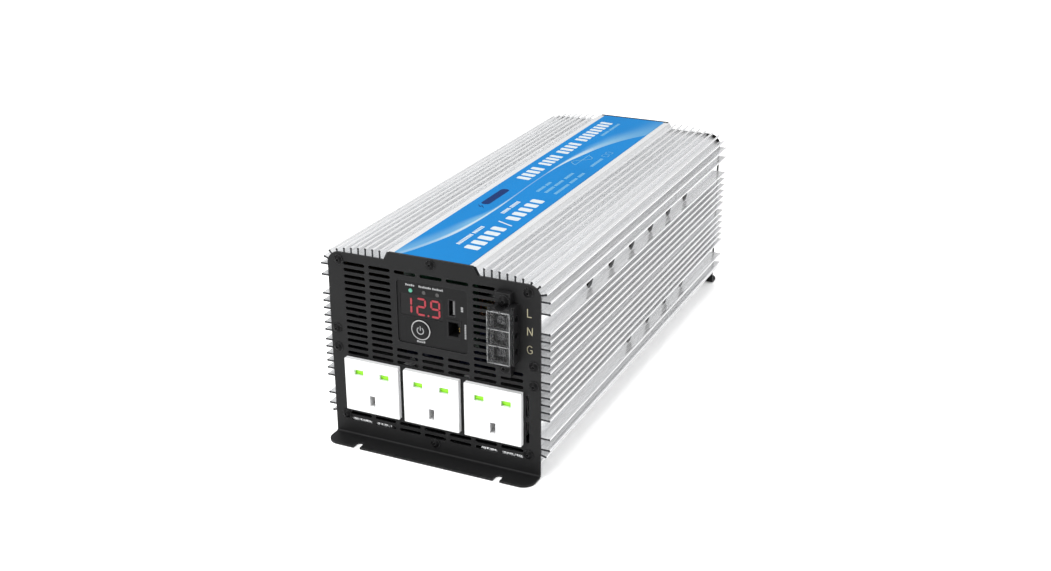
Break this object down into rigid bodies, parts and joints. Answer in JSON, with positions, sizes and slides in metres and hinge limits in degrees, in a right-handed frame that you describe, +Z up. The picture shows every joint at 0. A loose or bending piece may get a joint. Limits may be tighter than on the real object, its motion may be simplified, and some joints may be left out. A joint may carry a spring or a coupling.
{
  "type": "power inverter",
  "caption": "Finned aluminium power inverter with folded end panels, shuttered mains sockets, control module, terminal block, fans and battery studs.",
  "frame": {"origin": "centre of the footprint, on the surface the inverter stands on", "axes": "+X right across the front panel, +Y from the front panel to the rear panel, +Z up"},
  "size_m": [0.19, 0.4658, 0.1604],
  "materials": {
    "anodised_aluminium": "satin clear anodised",
    "black_panel": "fine satin powder coat",
    "blue_label": "printed polycarbonate film",
    "black_screw": "black oxide",
    "white_socket": "moulded urea, semi-gloss",
    "green_shutter": "moulded, bright green",
    "brass": "bright",
    "black_bezel": "satin",
    "display_dark": "smoked",
    "display_red": "emissive",
    "led_green": "emissive",
    "led_dark": "tinted epoxy, unlit",
    "button_ring": "satin",
    "plated_steel": "zinc plated",
    "usb_insulator": "moulded",
    "jack_plastic": "moulded",
    "green_board": "solder mask",
    "terminal_plastic": "moulded",
    "clear_cover": "clear polycarbonate",
    "dark_steel": "blackened",
    "fan_plastic": "glass-filled",
    "red_plastic": "moulded",
    "black_plastic": "moulded",
    "copper": "bare copper bar",
    "standoff_brass": "turned",
    "ferrite": "sintered ferrite",
    "yellow_tape": "polyester tape",
    "powder_core": "epoxy coated",
    "enamelled_copper": "enamelled wire",
    "capacitor_blue": "heat-shrink sleeve",
    "capacitor_green": "heat-shrink sleeve",
    "device_epoxy": "moulded epoxy",
    "pad_grey": "thermal pad",
    "fuse_orange": "moulded"
  },
  "bodies": {
    "case": {"upper_shell": "anodised_aluminium", "lower_shell": "anodised_aluminium", "front_panel": "black_panel", "rear_panel": "black_panel", "top_label": "blue_label", "front_panel_screws": "black_screw", "rear_panel_screws": "black_screw", "socket_left": "white_socket", "socket_middle": "white_socket", "socket_right": "white_socket", "socket_housings": "white_socket", "contacts_left": "brass", "contacts_middle": "brass", "contacts_right": "brass", "control_bezel": "black_bezel", "display_body": "display_dark", "display_segments": "display_red", "led_power": "led_green", "led_warning": "led_dark", "button_ring": "button_ring", "usb_shell": "plated_steel", "usb_tongue": "usb_insulator", "remote_jack": "jack_plastic", "control_board": "green_board", "terminal_block": "terminal_plastic", "terminal_screws": "dark_steel", "terminal_clamps": "dark_steel", "block_screws": "black_screw", "fan_frame_left": "fan_plastic", "fan_frame_right": "fan_plastic", "fan_guard_left": "plated_steel", "fan_guard_right": "plated_steel", "fan_screws": "plated_steel", "collar_positive": "red_plastic", "collar_negative": "black_plastic", "battery_studs": "brass", "battery_nuts": "plated_steel", "battery_washers": "plated_steel", "ground_screw": "plated_steel", "busbars": "copper", "main_board": "green_board", "standoffs": "standoff_brass", "board_screws": "plated_steel", "transformer_cores": "ferrite", "transformer_windings": "yellow_tape", "choke_cores": "powder_core", "choke_windings": "enamelled_copper", "bus_capacitors": "capacitor_blue", "input_capacitors": "capacitor_green", "transistors": "device_epoxy", "insulating_strips": "pad_grey", "clamp_bars": "plated_steel", "fuses": "fuse_orange"},
    "button": {"power_button": "black_bezel"},
    "left_shutter": {"shutter_left": "green_shutter"},
    "middle_shutter": {"shutter_middle": "green_shutter"},
    "right_shutter": {"shutter_right": "green_shutter"},
    "cover": {"terminal_cover": "clear_cover"},
    "left_rotor": {"fan_rotor_left": "fan_plastic"},
    "right_rotor": {"fan_rotor_right": "fan_plastic"}
  },
  "joints": [
    {"name": "power_button_press", "type": "slide", "parent": "case", "child": "button", "axis": [0, 1, 0], "range_m": [0, 0.0008], "stiffness_N_per_m": 900},
    {"name": "left_shutter_slide", "type": "slide", "parent": "case", "child": "left_shutter", "axis": [0, 0, -1], "range_m": [0, 0.0062], "stiffness_N_per_m": 120, "springref_m": -0.002},
    {"name": "middle_shutter_slide", "type": "slide", "parent": "case", "child": "middle_shutter", "axis": [0, 0, -1], "range_m": [0, 0.0062], "stiffness_N_per_m": 120, "springref_m": -0.002},
    {"name": "right_shutter_slide", "type": "slide", "parent": "case", "child": "right_shutter", "axis": [0, 0, -1], "range_m": [0, 0.0062], "stiffness_N_per_m": 120, "springref_m": -0.002},
    {"name": "terminal_cover_hinge", "type": "hinge", "parent": "case", "child": "cover", "pos_m": [0.0536, -0.2272, 0.1149], "axis": [0, 0, -1], "range_deg": [0, 115]},
    {"name": "left_fan_spin", "type": "hinge", "parent": "case", "child": "left_rotor", "pos_m": [-0.0375, 0.1929, 0.1045], "axis": [0, 1, 0], "continuous": true},
    {"name": "right_fan_spin", "type": "hinge", "parent": "case", "child": "right_rotor", "pos_m": [0.0375, 0.1929, 0.1045], "axis": [0, 1, 0], "continuous": true}
  ]
}
